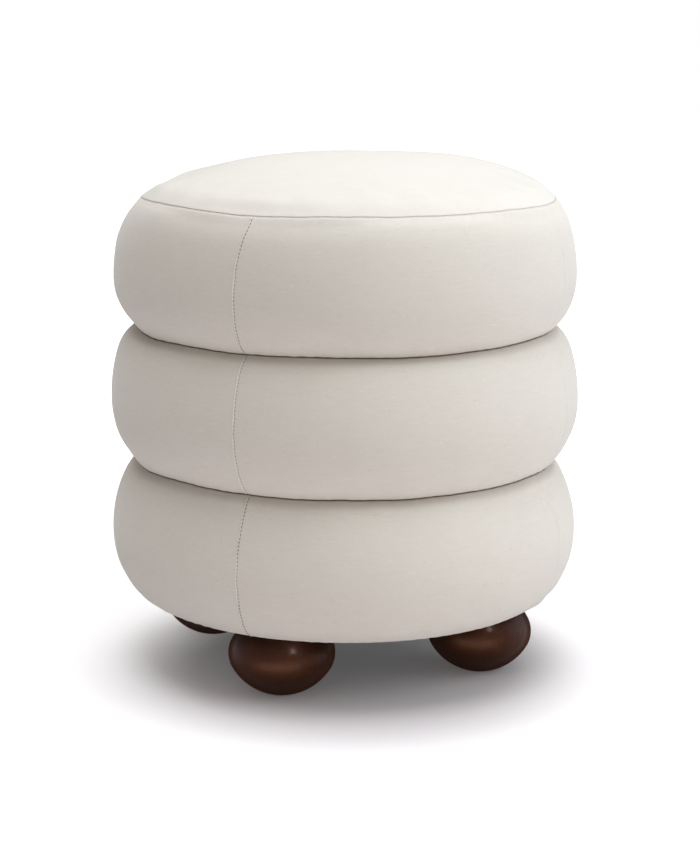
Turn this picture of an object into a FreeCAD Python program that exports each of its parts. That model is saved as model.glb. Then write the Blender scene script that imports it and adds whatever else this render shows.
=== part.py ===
import FreeCAD
import Part
import Sketcher
import math
import os

# Round three-tier ottoman on four turned feet, in millimetres.
# The origin is on the floor at the ottoman's axis, +Z is up and -Y is the front.

sizes = {
    # Stack of heights, from the floor up
    "footHeight": 65,
    "lowerTierHeight": 138.5,
    "middleTierHeight": 131,
    "upperTierHeight": 126.5,
    "crownRise": 39,
    # Height of each tier's widest line above the tier's own lower edge
    "lowerBellyHeight": 66,
    "middleBellyHeight": 60.5,
    "upperBellyHeight": 50,
    # From the drum outwards: foam, padding at the creases, and each tier's bulge past the creases
    "drumRadius": 171,
    "drumWall": 3,
    "foamThickness": 14.7,
    "waistPadding": 17,
    "lowerBulge": 27,
    "middleBulge": 27,
    "upperBulge": 23,
    "rimInset": 22.4,
    "hemInset": 33,
    # Belly and shoulder arcs over a widest line, as shares of the one arc that would span the half
    "lowerBellyShare": 1.122,
    "lowerShoulderShare": 0.382,
    "middleBellyShare": 1.432,
    "middleShoulderShare": 0.376,
    # The crown's wide arc and the arc that turns it down to the rim, as shares of one plain cap
    "crownArcShare": 1.16,
    "crownShoulderShare": 0.11,
    # Padded fabric: its sewn edges, its padding at the crown's middle and its room round the foam
    "edgeThickness": 2,
    "crownPadding": 13,
    "clothGap": 0.3,
    "crownFoamFlatRadius": 90,
    # Cords that draw the creases in
    "cordThickness": 4,
    # Boards and posts
    "baseBoardThickness": 18,
    "seatBoardThickness": 15,
    "seatFoamThickness": 30,
    "postWidth": 38,
    "postInset": 38,
    "frameGap": 0.3,
    # Dust cover and hem under the base
    "dustCoverThickness": 0.8,
    "dustCoverInset": 2,
    "hemWidth": 26,
    "stapleInset": 8,
    "stapleLength": 10,
    "stapleWidth": 1.2,
    "stapleHeight": 0.6,
    "stapleFootMargin": 9,
    # Turned feet, with the belly's height and its arc as shares of the foot's height
    "footInset": 39.6,
    "footRadius": 51,
    "footFloorRadius": 19,
    "footSeatRadius": 35.5,
    "footBellyShare": 0.57,
    "footBellyArcShare": 0.41,
    # Hanger bolts and tee nuts
    "boltRadius": 4,
    "boltDepthInFoot": 32,
    "boltReachAboveNut": 3,
    "boltGap": 0.1,
    "boreFloorGap": 1,
    "teeNutFlangeRadius": 11,
    "teeNutFlangeThickness": 1.5,
    "teeNutBarrelRadius": 5,
    "teeNutBarrelLength": 14,
}
stapleCount = 24

document = FreeCAD.newDocument("RoundOttoman")
sheet = document.addObject("Spreadsheet::Sheet", "Sizes")
for row, (sizeName, number) in enumerate(sizes.items(), start=1):
    sheet.set(f"A{row}", sizeName)
    sheet.set(f"B{row}", str(number))
    sheet.setAlias(f"B{row}", sizeName)
document.recompute()


class Measure:
    """A number together with the sheet expression that gives it."""

    def __init__(self, number, text):
        self.number = number
        self.text = text

    def __add__(self, other):
        return Measure(self.number + other.number, f"({self.text} + {other.text})")

    def __sub__(self, other):
        return Measure(self.number - other.number, f"({self.text} - {other.text})")

    def __mul__(self, other):
        if isinstance(other, Measure):
            return Measure(self.number * other.number, f"({self.text} * {other.text})")
        return Measure(self.number * other, f"({self.text} * {other})")

    def __truediv__(self, other):
        if isinstance(other, Measure):
            return Measure(self.number / other.number, f"({self.text} / {other.text})")
        return Measure(self.number / other, f"({self.text} / {other})")

    def __neg__(self):
        return Measure(-self.number, f"(-1 * {self.text})")


def size(sizeName):
    return Measure(sizes[sizeName], f"Sizes.{sizeName}")


zero = Measure(0.0, "0")


# Heights that several pieces share
lowerTierBottom = size("footHeight") + size("dustCoverThickness")
lowerCrease = size("footHeight") + size("lowerTierHeight")
upperCrease = lowerCrease + size("middleTierHeight")
rimHeight = upperCrease + size("upperTierHeight")
crownTop = rimHeight + size("crownRise")
baseBoardBottom = lowerTierBottom + size("edgeThickness")
baseBoardTop = baseBoardBottom + size("baseBoardThickness")
seatFoamTop = rimHeight + size("edgeThickness")
seatBoardTop = seatFoamTop - size("seatFoamThickness")
seatBoardBottom = seatBoardTop - size("seatBoardThickness")

# Radii that several pieces share
drumInnerRadius = size("drumRadius") - size("drumWall")
foamInnerRadius = size("drumRadius") + size("clothGap")
foamRadius = foamInnerRadius + size("foamThickness")
waistRadius = foamRadius + size("waistPadding")
lowerRadius = waistRadius + size("lowerBulge")
middleRadius = waistRadius + size("middleBulge")
upperRadius = waistRadius + size("upperBulge")
rimRadius = upperRadius - size("rimInset")
hemTurnRadius = lowerRadius - size("hemInset")
hemInnerRadius = foamRadius - size("hemWidth")
dustCoverRadius = foamRadius - size("dustCoverInset")
cordInnerRadius = size("drumRadius") + size("frameGap")
cordOuterRadius = cordInnerRadius + size("cordThickness")
edgeInnerRadius = cordOuterRadius + size("clothGap")
boltBoreRadius = size("boltRadius") + size("boltGap")


def originPlane(body, role):
    for feature in body.Origin.OriginFeatures:
        if feature.Role == role:
            return feature


def bind(item, propertyName, measure):
    item.setExpression(propertyName, measure.text)


def tangentTurn(across, up, firstRadius, secondRadius):
    """How far a first arc turns before a second, tangent to it, can end at a given place.

    The place is across and up from the first arc's centre. Also gives the way between the centres.
    """
    between = firstRadius - secondRadius
    reach = math.hypot(across, up)
    cosine = (reach**2 + between**2 - secondRadius**2) / (2 * between * reach)
    return math.atan2(up, across) - math.acos(cosine), between


def capDrop(across, arcRadius, edgeRadius, rise):
    """How far below the belly's centre lies the axis centre of a cap tangent to the belly arc.

    The belly arc's centre is across from the axis, and the cap ends at the edge radius at the rise.
    """
    spare = edgeRadius**2 + rise**2 - across**2 - arcRadius**2
    square = 4 * (rise**2 - arcRadius**2)
    straight = 4 * spare * rise
    rest = spare**2 - 4 * arcRadius**2 * across**2
    return (math.sqrt(straight**2 - 4 * square * rest) - straight) / (2 * square)


class Outline:
    """A closed sketch drawn counterclockwise, with every point and radius tied to the sheet."""

    def __init__(self, body, sketchName, startRadius, startHeight):
        self.sketch = body.newObject("Sketcher::SketchObject", sketchName)
        self.sketch.AttachmentSupport = (originPlane(body, "XZ_Plane"), [""])
        self.sketch.MapMode = "FlatFace"
        self.start = (startRadius, startHeight)
        self.last = self.start
        self.lastEnd = None

    def constrain(self, *terms):
        return self.sketch.addConstraint(Sketcher.Constraint(*terms))

    def dimension(self, kind, terms, measure):
        index = self.constrain(kind, *terms, measure.number)
        self.sketch.setExpression(f"Constraints[{index}]", measure.text)

    def pin(self, geometry, end, radius, height):
        if radius is zero:
            self.constrain("PointOnObject", geometry, end, -2)
        else:
            self.dimension("DistanceX", (-1, 1, geometry, end), radius)
        if height is zero:
            self.constrain("PointOnObject", geometry, end, -1)
        else:
            self.dimension("DistanceY", (-1, 1, geometry, end), height)

    def join(self, geometry, end):
        if self.lastEnd is None:
            self.pin(geometry, end, *self.start)
        else:
            self.constrain("Coincident", *self.lastEnd, geometry, end)

    def arc(self, centre, radius, startAngle, endAngle):
        circle = Part.Circle(FreeCAD.Vector(*centre, 0), FreeCAD.Vector(0, 0, 1), radius)
        return self.sketch.addGeometry(Part.ArcOfCircle(circle, startAngle, endAngle), False)

    def line(self, radius, height):
        here = FreeCAD.Vector(self.last[0].number, self.last[1].number, 0)
        there = FreeCAD.Vector(radius.number, height.number, 0)
        geometry = self.sketch.addGeometry(Part.LineSegment(here, there), False)
        self.join(geometry, 1)
        self.pin(geometry, 2, radius, height)
        self.last = (radius, height)
        self.lastEnd = (geometry, 2)

    def arcOut(self, beltRadius, beltHeight):
        """From a lower edge out to the widest line along one arc."""
        inset = beltRadius.number - self.last[0].number
        rise = beltHeight.number - self.last[1].number
        radius = (inset**2 + rise**2) / (2 * inset)
        centre = (beltRadius.number - radius, beltHeight.number)
        geometry = self.arc(centre, radius, -math.asin(rise / radius), 0)
        self.join(geometry, 1)
        self.pin(geometry, 2, beltRadius, beltHeight)
        self.constrain("Horizontal", geometry, 3, geometry, 2)
        self.last = (beltRadius, beltHeight)
        self.lastEnd = (geometry, 2)

    def arcIn(self, edgeRadius, edgeHeight):
        """From the widest line in to an upper edge along one arc."""
        inset = self.last[0].number - edgeRadius.number
        rise = edgeHeight.number - self.last[1].number
        radius = (inset**2 + rise**2) / (2 * inset)
        centre = (self.last[0].number - radius, self.last[1].number)
        geometry = self.arc(centre, radius, 0, math.asin(rise / radius))
        self.join(geometry, 1)
        self.constrain("Horizontal", geometry, 3, geometry, 1)
        self.pin(geometry, 2, edgeRadius, edgeHeight)
        self.last = (edgeRadius, edgeHeight)
        self.lastEnd = (geometry, 2)

    def bulgeIn(self, edgeRadius, edgeHeight, shares):
        """From the widest line in to an upper edge: a belly arc, then a shoulder arc."""
        inset = self.last[0] - edgeRadius
        rise = edgeHeight - self.last[1]
        spanRadius = (inset * inset + rise * rise) / (inset * 2)
        belly = spanRadius * shares[0]
        shoulder = spanRadius * shares[1]
        bellyCentre = (self.last[0].number - belly.number, self.last[1].number)
        meetAngle, reach = tangentTurn(
            edgeRadius.number - bellyCentre[0], rise.number, belly.number, shoulder.number
        )
        shoulderCentre = (
            bellyCentre[0] + reach * math.cos(meetAngle),
            bellyCentre[1] + reach * math.sin(meetAngle),
        )
        edgeAngle = math.atan2(
            edgeHeight.number - shoulderCentre[1], edgeRadius.number - shoulderCentre[0]
        )
        first = self.arc(bellyCentre, belly.number, 0, meetAngle)
        second = self.arc(shoulderCentre, shoulder.number, meetAngle, edgeAngle)
        self.join(first, 1)
        self.constrain("Horizontal", first, 3, first, 1)
        self.constrain("Tangent", first, 2, second, 1)
        self.dimension("Radius", (first,), belly)
        self.dimension("Radius", (second,), shoulder)
        self.pin(second, 2, edgeRadius, edgeHeight)
        self.last = (edgeRadius, edgeHeight)
        self.lastEnd = (second, 2)

    def bun(self, bellyRadius, bellyArcRadius, bellyHeight, edgeRadius, edgeHeight):
        """A cap centred on the axis, a belly arc tangent to it, and a second cap over the belly."""
        arcRadius = bellyArcRadius.number
        bellyCentre = (bellyRadius.number - arcRadius, bellyHeight.number)
        caps = []
        for radius, height in (self.last, (edgeRadius, edgeHeight)):
            rise = abs(height.number - bellyHeight.number)
            drop = capDrop(bellyCentre[0], arcRadius, radius.number, rise)
            caps.append((drop, math.atan2(drop, bellyCentre[0]), math.atan2(rise + drop, radius.number)))
        (lowerDrop, lowerTurn, floorTurn), (upperDrop, upperTurn, seatTurn) = caps
        lowerCentre = (0, bellyHeight.number + lowerDrop)
        upperCentre = (0, bellyHeight.number - upperDrop)
        lowerCapRadius = arcRadius + math.hypot(bellyCentre[0], lowerDrop)
        upperCapRadius = arcRadius + math.hypot(bellyCentre[0], upperDrop)
        lower = self.arc(lowerCentre, lowerCapRadius, -floorTurn, -lowerTurn)
        belly = self.arc(bellyCentre, arcRadius, -lowerTurn, upperTurn)
        upper = self.arc(upperCentre, upperCapRadius, upperTurn, seatTurn)
        self.join(lower, 1)
        self.constrain("PointOnObject", lower, 3, -2)
        self.constrain("Tangent", lower, 2, belly, 1)
        self.dimension("Radius", (belly,), bellyArcRadius)
        self.pin(belly, 3, bellyRadius - bellyArcRadius, bellyHeight)
        self.constrain("Tangent", belly, 2, upper, 1)
        self.constrain("PointOnObject", upper, 3, -2)
        self.pin(upper, 2, edgeRadius, edgeHeight)
        self.last = (edgeRadius, edgeHeight)
        self.lastEnd = (upper, 2)

    def crown(self, topHeight, shares):
        """From the rim up to the axis: a shoulder arc, then a wide arc centred on the axis."""
        rimRadius, rimHeight = self.last
        rise = topHeight - rimHeight
        capRadius = (rimRadius * rimRadius + rise * rise) / (rise * 2)
        wide = capRadius * shares[0]
        shoulder = capRadius * shares[1]
        turn, reach = tangentTurn(
            wide.number - rise.number, rimRadius.number, wide.number, shoulder.number
        )
        meetAngle = math.pi / 2 - turn
        wideCentre = (0, topHeight.number - wide.number)
        shoulderCentre = (
            reach * math.cos(meetAngle),
            wideCentre[1] + reach * math.sin(meetAngle),
        )
        rimAngle = math.atan2(
            rimHeight.number - shoulderCentre[1], rimRadius.number - shoulderCentre[0]
        )
        first = self.arc(shoulderCentre, shoulder.number, rimAngle, meetAngle)
        second = self.arc(wideCentre, wide.number, meetAngle, math.pi / 2)
        self.join(first, 1)
        self.constrain("Tangent", first, 2, second, 1)
        self.dimension("Radius", (first,), shoulder)
        self.dimension("Radius", (second,), wide)
        self.constrain("PointOnObject", second, 3, -2)
        self.pin(second, 2, zero, topHeight)
        self.last = (zero, topHeight)
        self.lastEnd = (second, 2)

    def close(self):
        self.line(*self.start)


def turned(name, outline, body):
    """Revolves a closed outline about the upright axis."""
    revolution = body.newObject("PartDesign::Revolution", name + "Turn")
    revolution.Profile = outline.sketch
    revolution.ReferenceAxis = (outline.sketch, ["V_Axis"])
    revolution.Angle = 360
    outline.sketch.Visibility = False


def newBody(label):
    body = document.addObject("PartDesign::Body", label)
    body.Label = label
    return body


def ring(label, points):
    """A turned piece whose section is a straight-sided polygon."""
    body = newBody(label)
    outline = Outline(body, label + "Section", *points[0])
    for radius, height in points[1:]:
        outline.line(radius, height)
    outline.close()
    turned(label, outline, body)
    return body


def drill(body, name, places, radius):
    """Round holes right through at the given places."""
    sketch = body.newObject("Sketcher::SketchObject", name + "Places")
    sketch.AttachmentSupport = (originPlane(body, "XY_Plane"), [""])
    sketch.MapMode = "FlatFace"
    for x, y in places:
        centre = FreeCAD.Vector(x.number, y.number, 0)
        circle = Part.Circle(centre, FreeCAD.Vector(0, 0, 1), radius.number)
        geometry = sketch.addGeometry(circle, False)
        dimensions = (
            ("DistanceX", (-1, 1, geometry, 3), x),
            ("DistanceY", (-1, 1, geometry, 3), y),
            ("Radius", (geometry,), radius),
        )
        for kind, terms, measure in dimensions:
            index = sketch.addConstraint(Sketcher.Constraint(kind, *terms, measure.number))
            sketch.setExpression(f"Constraints[{index}]", measure.text)
    pocket = body.newObject("PartDesign::Pocket", name)
    pocket.Profile = sketch
    pocket.Type = "ThroughAll"
    pocket.Midplane = True
    sketch.Visibility = False


def place(item, x, y, z):
    for axis, measure in (("x", x), ("y", y), ("z", z)):
        if measure is not zero:
            bind(item, f"Placement.Base.{axis}", measure)


def gathered(label, items):
    """Identical fasteners as one sub-part."""
    group = document.addObject("Part::Compound", label)
    group.Links = items
    group.Label = label
    return group


footOffset = (foamRadius - size("footInset")) * math.cos(math.pi / 4)
footPlaces = {
    "front_left": (-footOffset, -footOffset),
    "front_right": (footOffset, -footOffset),
    "back_left": (-footOffset, footOffset),
    "back_right": (footOffset, footOffset),
}
postOffset = drumInnerRadius - size("postInset")
postPlaces = {
    "right": (postOffset, zero),
    "back": (zero, postOffset),
    "left": (-postOffset, zero),
    "front": (zero, -postOffset),
}


# Padded fabric: three sleeves and the crowned top panel

lowerBelt = lowerTierBottom + size("lowerBellyHeight")
middleBelt = lowerCrease + size("middleBellyHeight")
upperBelt = upperCrease + size("upperBellyHeight")
liningRadius = foamRadius + size("clothGap")


def lining(top, foot, footBottom, footInnerRadius):
    """The inside of a sleeve: down its upper edge, down the foam wall and in along its foot."""
    edge = size("edgeThickness")
    return [
        (edgeInnerRadius, top),
        (edgeInnerRadius, top - edge),
        (liningRadius, top - edge),
        (liningRadius, foot),
        (footInnerRadius, foot),
        (footInnerRadius, footBottom),
    ]


def sleeve(label, bottomEdge, belt, topEdge, shares, liningPoints):
    """A sleeve bulges out from its lower edge to its widest line and back in to its upper edge."""
    body = newBody(label)
    outline = Outline(body, label + "Section", *bottomEdge)
    outline.arcOut(*belt)
    if shares:
        outline.bulgeIn(*topEdge, shares)
    else:
        outline.arcIn(*topEdge)
    for radius, height in liningPoints:
        outline.line(radius, height)
    outline.close()
    turned(label, outline, body)
    return body


lowerSleeve = sleeve(
    "lower_sleeve",
    (hemTurnRadius, lowerTierBottom),
    (lowerRadius, lowerBelt),
    (waistRadius, lowerCrease),
    (size("lowerBellyShare"), size("lowerShoulderShare")),
    lining(lowerCrease, baseBoardBottom, lowerTierBottom, hemInnerRadius),
)
middleSleeve = sleeve(
    "middle_sleeve",
    (waistRadius, lowerCrease),
    (middleRadius, middleBelt),
    (waistRadius, upperCrease),
    (size("middleBellyShare"), size("middleShoulderShare")),
    lining(upperCrease, lowerCrease + size("edgeThickness"), lowerCrease, edgeInnerRadius),
)
upperSleeve = sleeve(
    "upper_sleeve",
    (waistRadius, upperCrease),
    (upperRadius, upperBelt),
    (rimRadius, rimHeight),
    None,
    lining(rimHeight, upperCrease + size("edgeThickness"), upperCrease, edgeInnerRadius),
)

crownPanel = newBody("crown_panel")
crownOutline = Outline(crownPanel, "crownPanelSection", rimRadius, rimHeight)
crownOutline.crown(crownTop, (size("crownArcShare"), size("crownShoulderShare")))
crownOutline.line(zero, crownTop - size("crownPadding"))
crownOutline.line(size("crownFoamFlatRadius"), crownTop - size("crownPadding"))
crownOutline.line(liningRadius, seatFoamTop)
crownOutline.line(edgeInnerRadius, seatFoamTop)
crownOutline.line(edgeInnerRadius, rimHeight)
crownOutline.close()
turned("crown_panel", crownOutline, crownPanel)


# Foam inside the sleeves and under the crown


def hoop(label, innerRadius, outerRadius, bottom, top):
    return ring(
        label,
        [(innerRadius, bottom), (outerRadius, bottom), (outerRadius, top), (innerRadius, top)],
    )


edgeRoom = size("edgeThickness") + size("clothGap")
lowerFoamBottom = baseBoardTop + size("clothGap")
lowerFoam = hoop("lower_foam", foamInnerRadius, foamRadius, lowerFoamBottom, lowerCrease - edgeRoom)
middleFoam = hoop(
    "middle_foam", foamInnerRadius, foamRadius, lowerCrease + edgeRoom, upperCrease - edgeRoom
)
upperFoam = hoop(
    "upper_foam", foamInnerRadius, foamRadius, upperCrease + edgeRoom, rimHeight - edgeRoom
)
seatFoam = hoop("seat_foam", zero, size("drumRadius"), seatBoardTop, seatFoamTop)

crownFoamBottom = seatFoamTop + size("clothGap")
crownFoamTop = crownTop - size("crownPadding") - size("clothGap")
crownFoam = ring(
    "crown_foam",
    [
        (zero, crownFoamBottom),
        (foamRadius, crownFoamBottom),
        (size("crownFoamFlatRadius"), crownFoamTop),
        (zero, crownFoamTop),
    ],
)


# Cords that draw the creases in against the drum


def drawCord(label, crease):
    half = size("cordThickness") / 2
    return hoop(label, cordInnerRadius, cordOuterRadius, crease - half, crease + half)


lowerCord = drawCord("lower_draw_cord", lowerCrease)
upperCord = drawCord("upper_draw_cord", upperCrease)


# Frame: two boards, four posts and the tack board drum round them

drum = hoop("drum_wrap", drumInnerRadius, size("drumRadius"), baseBoardTop, seatBoardTop)
baseBoard = hoop("base_board", zero, foamRadius, baseBoardBottom, baseBoardTop)
drill(baseBoard, "teeNutHoles", footPlaces.values(), size("teeNutBarrelRadius") + size("boltGap"))
seatBoardRadius = drumInnerRadius - size("frameGap")
seatBoard = hoop("seat_board", zero, seatBoardRadius, seatBoardBottom, seatBoardTop)


def post(label, x, y):
    block = document.addObject("Part::Box", label)
    half = size("postWidth") / 2
    bind(block, "Length", size("postWidth"))
    bind(block, "Width", size("postWidth"))
    bind(block, "Height", seatBoardBottom - baseBoardTop)
    place(block, x - half, y - half, baseBoardTop)
    block.Label = label
    return block


posts = [post("post_" + side, x, y) for side, (x, y) in postPlaces.items()]


# Underside: dust cover over the turned-in hem, and its staples

dustCover = hoop("dust_cover", zero, dustCoverRadius, size("footHeight"), lowerTierBottom)
drill(dustCover, "boltHoles", footPlaces.values(), boltBoreRadius)


def staples():
    """Staple crowns in a ring, left out where a foot covers the ring."""
    radius = dustCoverRadius.number - sizes["stapleInset"]
    reach = sizes["footSeatRadius"] + sizes["stapleFootMargin"]
    length = sizes["stapleLength"]
    width = sizes["stapleWidth"]
    height = sizes["stapleHeight"]
    crowns = []
    for index in range(stapleCount):
        turn = 2 * math.pi * index / stapleCount
        x = radius * math.cos(turn)
        y = radius * math.sin(turn)
        feet = [(a.number, b.number) for a, b in footPlaces.values()]
        if min(math.hypot(x - a, y - b) for a, b in feet) < reach:
            continue
        bottom = sizes["footHeight"] - height
        crown = Part.makeBox(width, length, height, FreeCAD.Vector(-width / 2, -length / 2, 0))
        crown.rotate(FreeCAD.Vector(0, 0, 0), FreeCAD.Vector(0, 0, 1), math.degrees(turn))
        crown.translate(FreeCAD.Vector(x, y, bottom))
        crowns.append(crown)
    return Part.makeCompound(crowns)


dustCoverStaples = document.addObject("Part::Feature", "dust_cover_staples")
dustCoverStaples.Label = "dust_cover_staples"
dustCoverStaples.Shape = staples()


# Turned bun feet with their hanger bolts and tee nuts

boreFloor = size("footHeight") - size("boltDepthInFoot") - size("boreFloorGap")
boltBottom = size("footHeight") - size("boltDepthInFoot")
boltTop = baseBoardTop + size("teeNutFlangeThickness") + size("boltReachAboveNut")


def bunFoot(label, x, y):
    """A flattened ball, cut flat at the floor and at its seat, with a blind bore for its bolt."""
    body = newBody(label)
    outline = Outline(body, label + "Section", size("footFloorRadius"), zero)
    bellyHeight = size("footHeight") * size("footBellyShare")
    bellyArcRadius = size("footHeight") * size("footBellyArcShare")
    seat = (size("footSeatRadius"), size("footHeight"))
    outline.bun(size("footRadius"), bellyArcRadius, bellyHeight, *seat)
    outline.line(boltBoreRadius, size("footHeight"))
    outline.line(boltBoreRadius, boreFloor)
    outline.line(zero, boreFloor)
    outline.line(zero, zero)
    outline.close()
    turned(label, outline, body)
    place(body, x, y, zero)
    return body


feet = [bunFoot("foot_" + corner, x, y) for corner, (x, y) in footPlaces.items()]

bolts = []
nuts = []
for corner, (x, y) in footPlaces.items():
    bolt = document.addObject("Part::Cylinder", "bolt_" + corner)
    bind(bolt, "Radius", size("boltRadius"))
    bind(bolt, "Height", boltTop - boltBottom)
    place(bolt, x, y, boltBottom)
    bolts.append(bolt)
    flangeTop = baseBoardTop + size("teeNutFlangeThickness")
    nut = ring(
        "nut_" + corner,
        [
            (boltBoreRadius, baseBoardTop - size("teeNutBarrelLength")),
            (size("teeNutBarrelRadius"), baseBoardTop - size("teeNutBarrelLength")),
            (size("teeNutBarrelRadius"), baseBoardTop),
            (size("teeNutFlangeRadius"), baseBoardTop),
            (size("teeNutFlangeRadius"), flangeTop),
            (boltBoreRadius, flangeTop),
        ],
    )
    place(nut, x, y, zero)
    nuts.append(nut)
hangerBolts = gathered("hanger_bolts", bolts)
teeNuts = gathered("tee_nuts", nuts)


subParts = [lowerSleeve, middleSleeve, upperSleeve, crownPanel, lowerCord, upperCord]
subParts += [lowerFoam, middleFoam, upperFoam, seatFoam, crownFoam]
subParts += [baseBoard, seatBoard, drum, dustCover, dustCoverStaples]
subParts += posts + feet + [hangerBolts, teeNuts]

document.recompute()
faults = [item.Name for item in document.Objects if {"Invalid", "Error"} & set(item.State)]
faults += [item.Label for item in subParts if item.Shape.isNull() or not item.Shape.isValid()]
loose = [item.Name for item in document.Objects if item.isDerivedFrom("Sketcher::SketchObject")
         and not item.FullyConstrained]
if faults or loose:
    raise RuntimeError(f"not built: {faults}, not fully constrained: {loose}")

os.makedirs("parts", exist_ok=True)
for item in subParts:
    item.Shape.exportStep(f"parts/{item.Label}.step")
    print(f"{item.Label}: {len(item.Shape.Solids)} solids, {item.Shape.Volume:.1f} mm3")
box = Part.makeCompound([item.Shape for item in subParts]).optimalBoundingBox()
print(f"overall {box.XLength:.1f} x {box.YLength:.1f} x {box.ZLength:.1f} mm")
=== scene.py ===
import math

import bpy
import numpy as np
from mathutils import Matrix, Vector


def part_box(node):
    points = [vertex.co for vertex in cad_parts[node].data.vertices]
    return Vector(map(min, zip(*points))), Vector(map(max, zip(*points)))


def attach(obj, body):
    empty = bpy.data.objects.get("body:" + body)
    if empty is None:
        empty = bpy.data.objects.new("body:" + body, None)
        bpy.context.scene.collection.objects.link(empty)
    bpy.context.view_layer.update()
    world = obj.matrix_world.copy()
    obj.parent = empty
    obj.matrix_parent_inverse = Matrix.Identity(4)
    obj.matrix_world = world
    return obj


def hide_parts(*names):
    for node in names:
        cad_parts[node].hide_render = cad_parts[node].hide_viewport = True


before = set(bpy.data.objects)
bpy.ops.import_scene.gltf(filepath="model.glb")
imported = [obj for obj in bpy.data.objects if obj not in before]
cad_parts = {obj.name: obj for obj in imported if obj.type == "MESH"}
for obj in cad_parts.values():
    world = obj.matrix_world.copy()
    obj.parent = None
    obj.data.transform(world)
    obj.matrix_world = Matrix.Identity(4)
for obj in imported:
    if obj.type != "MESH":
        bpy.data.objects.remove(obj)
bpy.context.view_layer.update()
print("frame loaded")

mm = 0.001
fullTurn = 2 * math.pi
white = (1, 1, 1, 1)


# Sizes read from the frame

def halfWidth(node):
    low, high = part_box(node)
    return (high[0] - low[0]) / 2


def bottomOf(node):
    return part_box(node)[0][2]


def topOf(node):
    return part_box(node)[1][2]


hemHeight = bottomOf("lower_sleeve")
lowerCrease = topOf("lower_sleeve")
upperCrease = topOf("middle_sleeve")
rimHeight = topOf("upper_sleeve")
crownHeight = topOf("crown_panel")
foamRadius = halfWidth("lower_foam")
drumRadius = halfWidth("drum_wrap")


# Noise made from seeded waves, so that every run gives the same shape

waveCalm = 1.6  # divides a sum of waves, so that few of its peaks are cut off


def wavesAround(angles, seed, slowest, fastest, count=7):
    # sum of whole waves round the axis, between -1 and 1
    draw = np.random.default_rng(seed)
    total = np.zeros_like(angles)
    for turns in draw.integers(slowest, fastest + 1, count):
        total += np.cos(turns * angles + draw.uniform(0, fullTurn)) / count ** 0.5
    return np.clip(total / waveCalm, -1, 1)


def wavesOver(angles, lengths, seed, slowest, fastest, shortest, longest, count=14):
    # the same over a surface: whole waves round the axis, any wave along the outline
    draw = np.random.default_rng(seed)
    total = np.zeros(np.broadcast(angles, lengths).shape)
    for _ in range(count):
        turns = draw.integers(slowest, fastest + 1)
        wave = draw.uniform(shortest, longest)
        start = draw.uniform(0, fullTurn)
        lean = draw.choice((-1, 1))
        total += np.cos(turns * angles + lean * fullTurn * lengths / wave + start)
    return np.clip(total / count ** 0.5 / waveCalm, -1, 1)


# Outlines in the plane of radius and height

outlineStep = 0.5 * mm


def arcPoints(centre, radius, start, end):
    turn = np.linspace(start, end, max(3, int(abs(end - start) * radius / outlineStep)))
    return np.stack([centre[0] + radius * np.cos(turn), centre[1] + radius * np.sin(turn)], 1)


def twoArcHalf(belt, edge, bellyShare, shoulderShare):
    # from the widest line to an edge: a flatter belly, then a tighter shoulder tangent to it
    inset, rise = belt[0] - edge[0], edge[1] - belt[1]
    span = (inset ** 2 + rise ** 2) / (2 * inset)
    belly, shoulder = span * bellyShare, span * shoulderShare
    between, reach = belly - shoulder, math.hypot(belly - inset, rise)
    cosine = (reach ** 2 + between ** 2 - shoulder ** 2) / (2 * between * reach)
    meet = math.atan2(rise, belly - inset) - math.acos(cosine)
    bellyCentre = (belt[0] - belly, belt[1])
    shoulderCentre = (bellyCentre[0] + between * math.cos(meet), belt[1] + between * math.sin(meet))
    edgeTurn = math.atan2(edge[1] - shoulderCentre[1], edge[0] - shoulderCentre[0])
    first = arcPoints(bellyCentre, belly, 0, meet)
    return np.concatenate([first, arcPoints(shoulderCentre, shoulder, meet, edgeTurn)[1:]])


def lengthsAlong(points):
    return np.concatenate([[0], np.cumsum(np.hypot(*np.diff(points, axis=0).T))])


def placesAt(spots, along, points):
    # places on a line at other lengths along it
    return np.stack([np.interp(spots, along, axis) for axis in points.T], 1)


def respaced(points, step):
    # the same line with evenly spaced points
    along = lengthsAlong(points)
    return placesAt(np.linspace(0, along[-1], max(4, int(along[-1] / step) + 1)), along, points)


def bellWeights(reach, width):
    weights = np.exp(-0.5 * (np.arange(-reach, reach + 1) / width) ** 2)
    return weights / weights.sum()


def softened(points, width, step=outlineStep):
    # rounds corners by a bell-shaped average, with the end points kept
    reach = int(3 * width / step)
    before, after = 2 * points[0] - points[reach:0:-1], 2 * points[-1] - points[-2:-reach - 2:-1]
    padded = np.concatenate([before, points, after])
    weights = bellWeights(reach, width / step)
    return np.stack([np.convolve(axis, weights, "valid") for axis in padded.T], 1)


def softenedRow(values, reach, width):
    # the same average for a row of numbers, with the end values carried on
    return np.convolve(np.pad(values, reach, mode="edge"), bellWeights(reach, width), "valid")


# Meshes turned about the axis

def newObject(name, data):
    made = bpy.data.objects.new(name, data)
    bpy.context.scene.collection.objects.link(made)
    return made


def makePiece(name, points, faces, material):
    mesh = bpy.data.meshes.new(name)
    mesh.from_pydata(np.reshape(points, (-1, 3)), [], faces)
    mesh.validate()
    mesh.shade_smooth()
    mesh.materials.append(material)
    return newObject(name, mesh)


def settle(piece, nodes=()):
    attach(piece, "root")
    if nodes:
        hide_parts(*nodes)


def gridFaces(rows, columns, closed):
    # quads between neighbouring rows, joined round the axis
    row = np.arange(rows if closed else rows - 1)[:, None]
    column = np.arange(columns)[None, :]
    nextRow, nextColumn = (row + 1) % rows, (column + 1) % columns
    corners = (row * columns + column, row * columns + nextColumn,
               nextRow * columns + nextColumn, nextRow * columns + column)
    return np.stack(np.broadcast_arrays(*corners), -1).reshape(-1, 4)


def evenAngles(count):
    return np.arange(count) * fullTurn / count


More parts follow.
